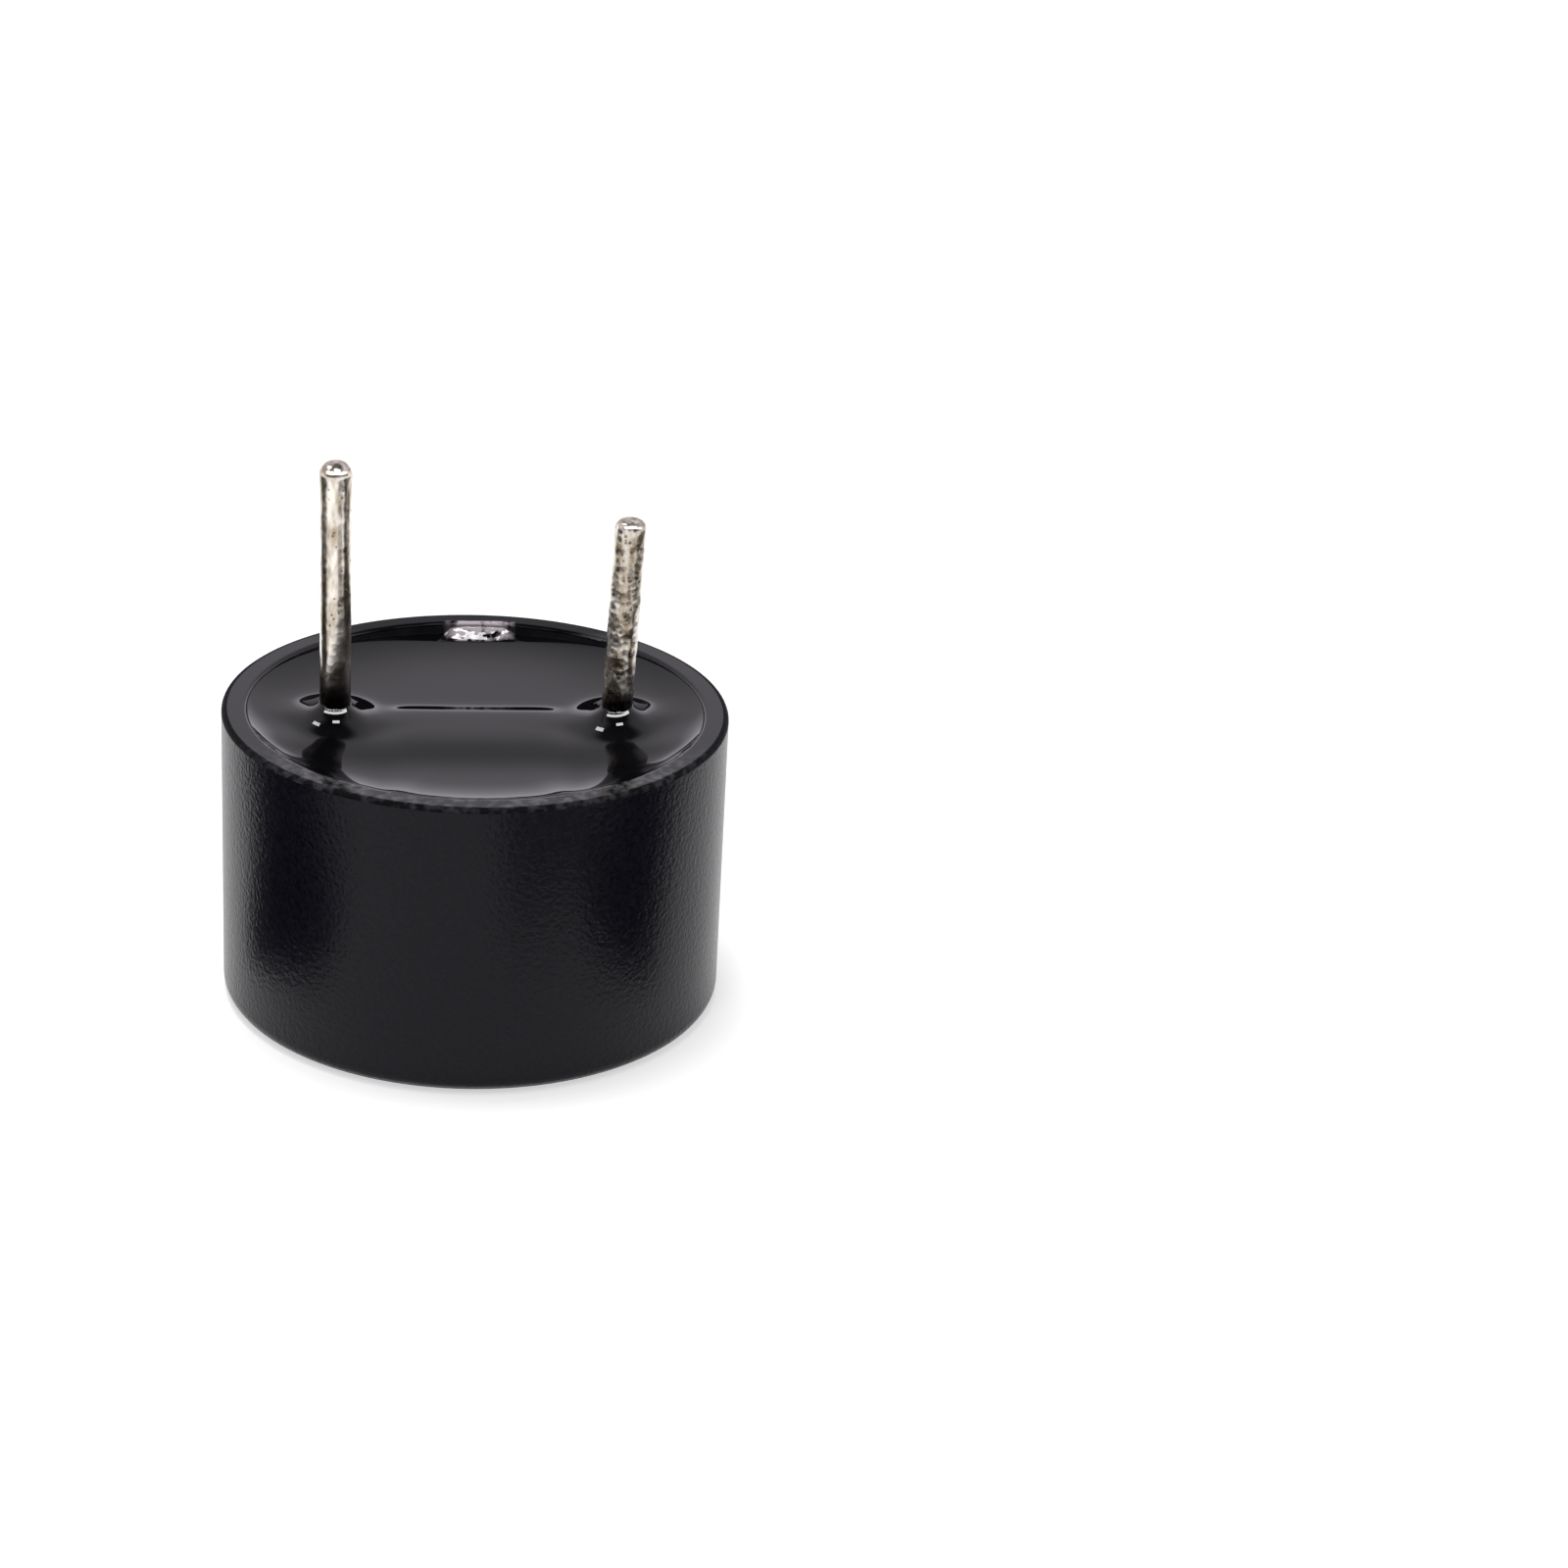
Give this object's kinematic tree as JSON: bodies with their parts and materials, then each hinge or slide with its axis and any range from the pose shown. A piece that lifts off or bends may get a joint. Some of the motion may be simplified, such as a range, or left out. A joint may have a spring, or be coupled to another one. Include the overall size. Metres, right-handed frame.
{
  "type": "buzzer",
  "caption": "Round black through-hole buzzer: a cup with a sound hole and a polarity mark in its face, sealed at the back with resin round a long and a short solder pin.",
  "frame": {"origin": "centre of the sound face, which the part stands on", "axes": "+Z from the sound face through the body to the pins; the two pins lie along X, the long positive pin at -X"},
  "size_m": [0.009, 0.009, 0.0099],
  "materials": {
    "case_plastic": "moulded black plastic, satin side, fine spark-eroded face",
    "armature": "pale tan, matt",
    "spring_metal": "rolled nickel-iron",
    "ring_plastic": "moulded",
    "magnet": "bonded magnet, matt grey",
    "soft_iron": "plated soft iron",
    "copper_wire": "enamelled copper",
    "board": "glass-epoxy laminate",
    "solder": "bright solder",
    "package": "moulded epoxy",
    "tinned_lead": "tinned",
    "resistor_ceramic": "alumina",
    "tinned_pin": "hot-dipped tin, warm silver",
    "resin": "glossy black epoxy"
  },
  "bodies": {
    "root": {"case": "case_plastic", "armature_disc": "armature", "diaphragm": "spring_metal", "support_ring": "ring_plastic", "magnet_ring": "magnet", "pole_core": "soft_iron", "yoke_plate": "soft_iron", "feedback_winding": "copper_wire", "drive_winding": "copper_wire", "coil_leads": "copper_wire", "circuit_board": "board", "coil_solder": "solder", "transistor_body": "package", "transistor_leads": "tinned_lead", "resistor_body": "resistor_ceramic", "resistor_caps": "tinned_lead", "pin_solder": "solder", "positive_pin": "tinned_pin", "negative_pin": "tinned_pin", "potting_resin": "resin"}
  },
  "joints": []
}
